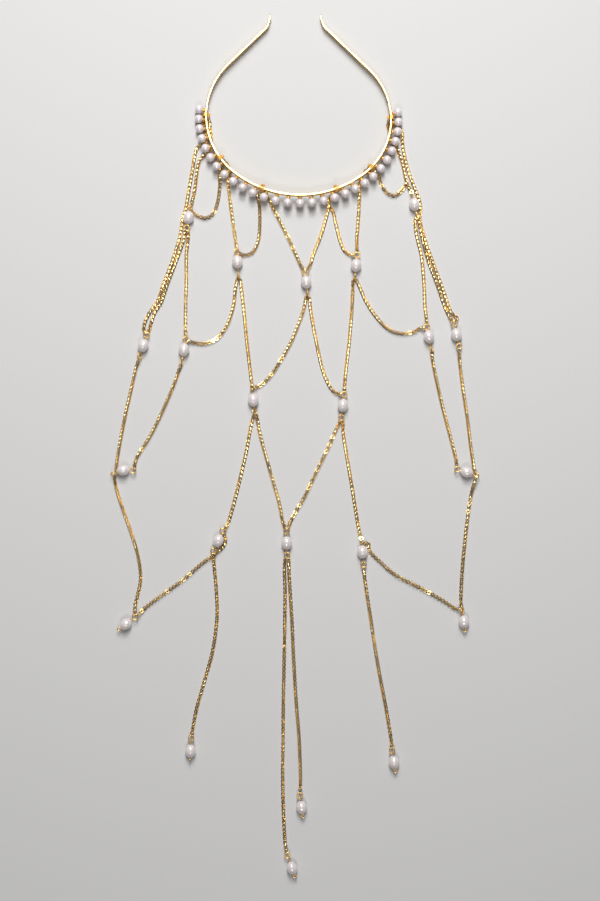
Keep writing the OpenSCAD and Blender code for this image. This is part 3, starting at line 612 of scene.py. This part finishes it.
# Each length of chain: its name, what its two ends hook on, and the places in between, with a
# height where it isn't at rest. An end hooks on a pin's loop (pearl, end), on a tie (side,
# distance along the strip, outwards, up) or on a link of another chain (name, x, y)
CHAINS = [
    ("left_1", ("tie", -1, 94.95, OUTER_RUN, -0.2), ("pin", 6, TOP),
     [(-64.2, 227.3, 1.4), (-63.8, 224.5), (-62.7, 218), (-62.4, 214), (-64.4, 211.8),
      (-68.5, 210), (-70.7, 204), (-71.5, 198), (-74, 184), (-77, 166.5), (-79.2, 160),
      (-79.8, 154), (-81.6, 145), (-86.6, 129.5), (-92.7, 113.5), (-96.7, 102),
      (-101.8, 95), (-105.3, 88), (-106.4, 82.4)]),
    ("left_1", ("pin", 6, LOW), ("pin", 12, LOW),
     [(-111.5, 56), (-115.5, 39), (-119.5, 21), (-123, 3), (-125, -9)]),
    ("left_1", ("pin", 12, LOW), ("pin", 17, TOP),
     [(-125.8, -28), (-122, -40.5), (-115.5, -59), (-110.5, -75.5), (-108.5, -91.5),
      (-110.5, -103), (-112.4, -111)]),
    ("left_2", ("tie", -1, 94.95, INNER_RUN, -0.1), ("pin", 1, TOP),
     [(-60.2, 227.2, 1.5), (-60, 224), (-59.2, 218), (-59.1, 213), (-59.6, 208.5), (-62, 205),
      (-65.5, 203), (-68.3, 197), (-70.5, 181), (-72, 174)]),
    ("left_2", ("pin", 1, LOW), ("pin", 7, TOP),
     [(-75, 149.3), (-75.7, 142.1), (-76.5, 134), (-76.5, 117), (-77, 100), (-77.1, 82.5)]),
    ("left_2", ("pin", 7, LOW), ("pin", 12, TOP),
     [(-82.5, 51.5), (-85.5, 43), (-93.5, 24.5), (-102, 7.5), (-111, -7)]),
    ("left_3", ("pin", 1, LOW), ("pin", 6, TOP),
     [(-77.6, 148.9), (-78.5, 144.5), (-83.6, 130.5), (-89.7, 114.3), (-94.1, 101.5), (-98.8, 94),
      (-102.2, 83.4)]),
    ("left_4", ("pin", 1, TOP), ("tie", -1, 62.15, OUTER_RUN, -0.3),
     [(-69.5, 162.6), (-63, 160.5), (-57.5, 164), (-54.3, 173), (-53, 184), (-53.3, 190.5),
      (-51.9, 194.5)]),
    ("left_5", ("tie", -1, 62.15, INNER_RUN, -0.2), ("pin", 2, TOP),
     [(-47.8, 198.2, 1.7), (-46.5, 195), (-46, 190.5), (-47.3, 186.5), (-46.5, 178),
      (-45, 166), (-43.5, 155), (-41.6, 142)]),
    ("left_5", ("pin", 2, LOW), ("pin", 10, TOP),
     [(-38.6, 116), (-37.7, 109), (-36.4, 98), (-34, 73), (-32, 56), (-30.8, 45.8)]),
    ("left_5", ("pin", 10, LOW), ("pin", 14, TOP),
     [(-29.9, 20.2), (-31.8, 12), (-34.5, -3), (-38.5, -20.5), (-43.5, -40.5),
      (-47.5, -54)]),
    ("left_5", ("pin", 14, LOW), ("pin", 19, TOP),
     [(-57.2, -79, 3.3), (-56.8, -85, 1.4), (-55.5, -100), (-55, -119.5), (-58, -142.5),
      (-64, -164.5), (-69, -182), (-72, -197)]),
    ("left_6", ("pin", 2, TOP), ("tie", -1, 27.05, OUTER_RUN, -0.4),
     [(-36, 134.5), (-30, 136.5), (-26, 145), (-25, 157), (-25.3, 169), (-26.3, 173.5),
      (-26, 176.5)]),
    ("left_7", ("pin", 2, LOW), ("pin", 7, TOP),
     [(-41.1, 116.4), (-42.2, 110), (-43.5, 99), (-47.5, 86.5), (-54.5, 76.5),
      (-63.5, 72.5), (-71.5, 73.2)]),
    ("left_8", ("tie", -1, 25.35, OUTER_RUN, -0.4), ("pin", 3, TOP),
     [(-19.6, 175.7), (-18.2, 172.5), (-15.5, 167), (-6, 148.5), (0, 135.5), (3.5, 127.5)]),
    ("left_9", ("pin", 3, LOW), ("pin", 10, TOP),
     [(7, 103.7), (5.3, 95), (-2.5, 75), (-10, 61.5), (-17.5, 50), (-25, 43)]),
    ("left_10", ("pin", 10, LOW), ("pin", 15, TOP),
     [(-26.8, 20), (-25.5, 12), (-22, -2), (-16, -23), (-11.5, -39), (-9.2, -51)]),
    ("left_11", ("pin", 15, LOW), ("pin", 22, TOP),
     [(-7.5, -79.8), (-7.7, -88), (-7.3, -100), (-7.5, -122.5), (-8, -151.5), (-8.5, -178),
      (-8.7, -204.5), (-9, -228), (-8.5, -254), (-7.3, -277)]),
    ("left_12", ("pin", 14, TOP), ("pin", 17, TOP),
     [(-49, -64.5), (-50.2, -69), (-54, -73), (-59, -77), (-65.5, -81.5), (-79.5, -93.5),
      (-94, -104), (-104.5, -112)]),
    ("right_1", ("tie", 1, 92.45, OUTER_RUN, -0.2), ("pin", 9, TOP),
     [(68.9, 226.1, 1.4), (69.9, 224.5), (72, 223.4), (74.6, 221), (75.2, 210), (78.7, 194.5),
      (83.8, 180.5), (86.8, 172.5), (87.5, 166), (87.2, 158.5), (90.9, 144.5),
      (95.8, 130.5), (102.4, 112.7), (106.3, 101.5), (109, 94.5), (113.2, 90.3)]),
    ("right_1", ("pin", 9, LOW), ("pin", 13, LOW),
     [(115, 60), (117.5, 39.5), (120.5, 19.5), (122.7, 1), (124.5, -11)]),
    ("right_1", ("pin", 13, LOW), ("pin", 18, TOP),
     [(123.5, -31.5), (121.5, -43), (118.5, -68), (116.5, -91.5), (115.9, -109)]),
    ("right_2", ("tie", 1, 92.45, INNER_RUN, -0.1), ("pin", 5, TOP),
     [(64.8, 225.5, 1.4), (65.6, 221.5), (66.7, 216.5), (68.8, 211.3), (71.4, 208.5),
      (73.1, 204), (75.4, 197), (77.8, 186)]),
    ("right_2", ("pin", 5, LOW), ("pin", 8, TOP),
     [(83.8, 158.6), (84.3, 152.1), (86.1, 143), (88.4, 133), (90, 115), (90.6, 101.5),
      (91.6, 90.5)]),
    ("right_2", ("pin", 8, LOW), ("pin", 13, TOP),
     [(96, 61), (98, 50.5), (102.5, 30.5), (107, 13), (112, -6.5)]),
    ("right_3", ("pin", 5, LOW), ("pin", 9, TOP),
     [(86.3, 157.4, 3.6), (87.9, 150, 3.3), (89.7, 142, 2.8), (91.9, 134.5, 1.6),
      (94.1, 127.5), (99.9, 112), (103.7, 101), (106.3, 94.5), (107.9, 91)]),
    ("right_4", ("chain", "right_2", 78.2, 185.2), ("tie", 1, 55.1, OUTER_RUN, -0.4),
     [(74, 179.5), (69.5, 176.2), (64.5, 178), (60.5, 183), (58.7, 188.3), (57, 191.2)]),
    ("right_5", ("tie", 1, 54.25, INNER_RUN, -0.2), ("pin", 4, TOP),
     [(48.9, 193.3, 1.8), (47.3, 191), (45.2, 187), (44.9, 183), (44.8, 174), (44, 159.5),
      (43, 146)]),
    ("right_5", ("pin", 4, LOW), ("pin", 11, TOP),
     [(40.3, 115.6), (40, 107), (39.3, 94), (37.5, 73), (35, 51)]),
    ("right_5", ("pin", 11, LOW), ("pin", 16, TOP),
     [(33.3, 16.2), (33.5, 9.1), (35.5, -3.5), (40, -30.5), (44, -55.5)]),
    ("right_5", ("pin", 16, LOW), ("pin", 20, TOP),
     [(48.3, -91), (50, -103), (53, -122.5), (57.5, -151.5), (63.5, -183.5), (67, -205)]),
    ("right_7", ("pin", 4, LOW), ("pin", 8, TOP),
     [(43.2, 115.8), (46.3, 109), (49.5, 102), (56, 92), (64, 83.5), (73, 79.7),
      (82.5, 80.5), (86.4, 82.8)]),
    ("right_8", ("tie", 1, 24.15, OUTER_RUN, -0.4), ("pin", 3, TOP),
     [(24.6, 175.6), (23.6, 172), (22.5, 164.5), (17.5, 147.5), (12.5, 135), (10.3, 127.5)]),
    ("right_6", ("chain", "right_8", 23.4, 169.3), ("pin", 4, TOP),
     [(26.6, 164), (28.5, 155.5), (31, 145.5), (34, 138), (38.3, 134.7)]),
    ("right_9", ("pin", 3, LOW), ("pin", 11, TOP),
     [(9.7, 103.5), (10.7, 95), (13.5, 79.5), (18.5, 56), (24, 42.5), (28.6, 37.9)]),
    ("right_10", ("pin", 11, LOW), ("pin", 15, TOP),
     [(30.3, 16.3), (27.2, 9.5), (23.5, 1), (14.5, -17.5), (6.5, -34.5), (0, -45.5),
      (-3.6, -52.5)]),
    ("right_11", ("pin", 15, LOW), ("pin", 21, TOP),
     [(-4.7, -79.8), (-4.6, -88), (-3.7, -103), (-2.5, -122.5), (-1.2, -151), (0.5, -179),
      (2.5, -204.5), (3.5, -232)]),
    ("right_12", ("pin", 16, TOP), ("pin", 18, TOP),
     [(51, -67.5), (52, -73), (60, -81), (66, -86.5), (73.5, -91.5), (90, -100), (104, -108),
      (111.8, -113.2)]),
]
# Stretches where every second link lies nearly flat: chain, and where they start and end
FLAT_EASING = 8
FLAT_STRETCHES = [("left_5", -155, -180), ("left_11", -128, -142), ("left_11", -200, -225),
                  ("right_5", -122, -152), ("right_5", -190, -206)]


# The links' gilding is painted pale where skin and cloth rub their outer sides, and painted dark
# brown inside the rings as shade in the hollows, partly also a bloom where a cloth never reaches.
# The wear is uneven over 2.5 mm.
WEAR = 2.5
gilt_links, tree, place = new_material("gilt_belcher_links")
section_wear_and_shade = add_node(tree, "SeparateXYZ", {"Vector": add_node(tree, "UVMap", uv_map="grain").outputs[0]})
blotch = add_node(tree, "TexNoise", {"Vector": place, "Scale": 1 / (WEAR * MM), "Detail": 2.0})
uneven = add_node(tree, "Math", {0: blotch.outputs[0], 1: 0.3, 2: -0.15},
                  operation="MULTIPLY_ADD")
wear_and_painted_shade = add_node(tree, "Math", {0: section_wear_and_shade.outputs[0], 1: uneven.outputs[0]}, operation="ADD")
# The ramp paints shade: dark brown on the rings' inner sides, pale gold on their rubbed outer
# sides.
link_tone = add_node(tree, "ValToRGB", {"Fac": wear_and_painted_shade.outputs[0]})
for step, (at, tone) in enumerate([(0.05, "#6B430E"), (0.5, "#E0A63E"), (0.95, "#FFE6A6")]):
    stop = link_tone.color_ramp.elements[step] if step < 2 else \
        link_tone.color_ramp.elements.new(at)
    stop.position, stop.color = at, linear(tone)
link_rough = add_node(tree, "MapRange", {"Value": wear_and_painted_shade.outputs[0], "To Min": 0.35,
                                         "To Max": 0.2})
finish_material(tree, Base_Color=link_tone.outputs[0], Metallic=1.0,
                Roughness=link_rough.outputs[0])

laid = {}


def hooked(end, toward):
    """Where a chain's end link sits and which way its face looks, given what it hooks on."""
    if end[0] == "chain":
        links = laid[end[1]]
        spot = np.array([end[2], end[3]])
        centre, way, face = min(links, key=lambda link: np.linalg.norm(link[0][:2] - spot))
        pull = toward - centre
        pull = unit(pull - face * np.dot(pull, face))
        return centre + pull * LINK_R, np.cross(pull, face)
    if end[0] == "tie":
        point = band_spot(*end[1:])
        tangent = unit(band_spot(*end[1:4], end[4] + 1) - point)
        pull = toward - point
        pull = unit(pull - tangent * np.dot(pull, tangent))
        return point + pull * (LINK_R - LINK_WIRE - TIE_WIRE / 2), tangent
    centre, out, normal = loop_frame(BEADS[end[1] - 1], end[2])
    pull = unit(np.array([*(toward[:2] - centre[:2]), 0]))
    pull = unit(pull + (0, 0, -HOOK_SAG))
    rest = unit(pull - normal * np.dot(pull, normal))
    slack = LINK_R - LINK_WIRE - LOOP_WIRE
    return centre + rest * LOOP_R + pull * slack, np.cross(normal, rest)


def through(points):
    """A smooth line through a chain's points, with its distances along."""
    points = [points[0], *points, points[-1]]
    line = []
    for a, b, c, d in zip(points, points[1:], points[2:], points[3:]):
        for t in np.arange(0, 1, 0.05):
            line.append(0.5 * (2 * b + (c - a) * t + (2 * a - 5 * b + 4 * c - d) * t * t
                               + (3 * b - a - 3 * c + d) * t ** 3))
    line = np.array(line + [points[-1]])
    gone = np.concatenate([[0], np.cumsum(np.linalg.norm(np.diff(line, axis=0), axis=1))])
    return line, gone


def lay_chain(name, start, end, points, seed):
    """The links of one length of chain: each link's middle, its way and its face."""
    free = [np.array([*p, REST_HEIGHT] if len(p) == 2 else p, float) for p in points]
    first, first_face = hooked(start, free[0])
    last, last_face = hooked(end, free[-1])
    line, gone = through([first, *free, last])
    count = ceil(gone[-1] / LINK_PITCH) + 1
    at = np.linspace(0, gone[-1], count)
    spots = np.stack([np.interp(at, gone, line[:, k]) for k in range(3)], axis=1)
    ways = [unit(way) for way in np.gradient(spots, axis=0)]
    ups = [unit(np.array([0, 0, 1]) - way * way[2]) for way in ways]
    links = []

    def turn_needed(i, face):
        roll = atan2(np.dot(face, np.cross(ways[i], ups[i])), np.dot(face, ups[i]))
        turn = roll - pi / 4 - pi / 2 * (i % 2)
        return (turn + pi / 2) % pi - pi / 2

    head, tail = turn_needed(0, first_face), turn_needed(count - 1, last_face)
    side = (-1) ** seed * (-1 if seed in OTHER_SIDE else 1)
    for i in range(count):
        drift = ROLL_DRIFT * noise.noise(Vector((i / DRIFT_LINKS, seed * 3.7, 0)))
        turn = (LINK_ROLL + drift) * side
        for strand, high, low in FLAT_STRETCHES:
            if strand == name and low < spots[i][1] < high:
                inside = min(high - spots[i][1], spots[i][1] - low, FLAT_EASING)
                turn += pi / 4 * inside / FLAT_EASING
        turn += head * max(0, 1 - i / END_LINKS)
        turn += tail * max(0, 1 - (count - 1 - i) / END_LINKS)
        off = turn % (pi / 2) - pi / 4
        turn += max(0, LEVEL_GAP - abs(off)) * (1 if off > 0 else -1)
        is_end = i in (0, count - 1)
        if is_end:
            turn = head if i == 0 else tail
        roll = pi / 4 + pi / 2 * (i % 2) + turn
        way, up = ways[i], ups[i]
        across = np.cross(way, up)
        face = cos(roll) * up + sin(roll) * across
        lean = LINK_LEAN * max(0, cos(2 * turn)) * side
        share = 1 + (spots[i][1] - TASSEL_TOP) / TIP_CHANGE
        tip = LINK_TIP * face[2] ** 2 * max(-1, min(1, share))
        tip += TIP_SPREAD * noise.noise(Vector((i * 0.83, seed * 2.9, 5)))
        if not is_end:
            face = np.array(Quaternion(across, tip) @ (Quaternion(up, lean) @ Vector(face)))
        way = unit(way - face * np.dot(way, face))
        spots[i][2] = max(spots[i][2], LINK_R * sqrt(1 - face[2] ** 2) + LINK_EDGE)
        links.append((spots[i], way, face))
    return links


for seed, (name, start, end, points) in enumerate(CHAINS):
    laid.setdefault(name, []).extend(lay_chain(name, start, end, points, seed))
turns = [2 * pi * i / LINK_STEPS for i in range(LINK_STEPS)]
link_faces = [face[::-1] for face in lattice(LINK_STEPS, len(LINK_SECTION), closed=True)]
# Each corner carries its rub share, which paints the rings' inner sides darker as shade.
link_grain = [(wear_and_shade_share, 0) for a in turns for out, up, wear_and_shade_share in LINK_SECTION]
for name, links in laid.items():
    chain = Piece()
    for middle, way, face in links:
        aside = np.cross(face, way)
        points = [middle + (LINK_R + out) * (cos(a) * way + sin(a) * aside) + up * face
                  for a in turns for out, up, wear_and_shade_share in LINK_SECTION]
        chain.add(points, link_faces, link_grain)
    chain.make(f"belcher_chain_{name}", gilt_links, [f"chain_{name}"], smooth=False)
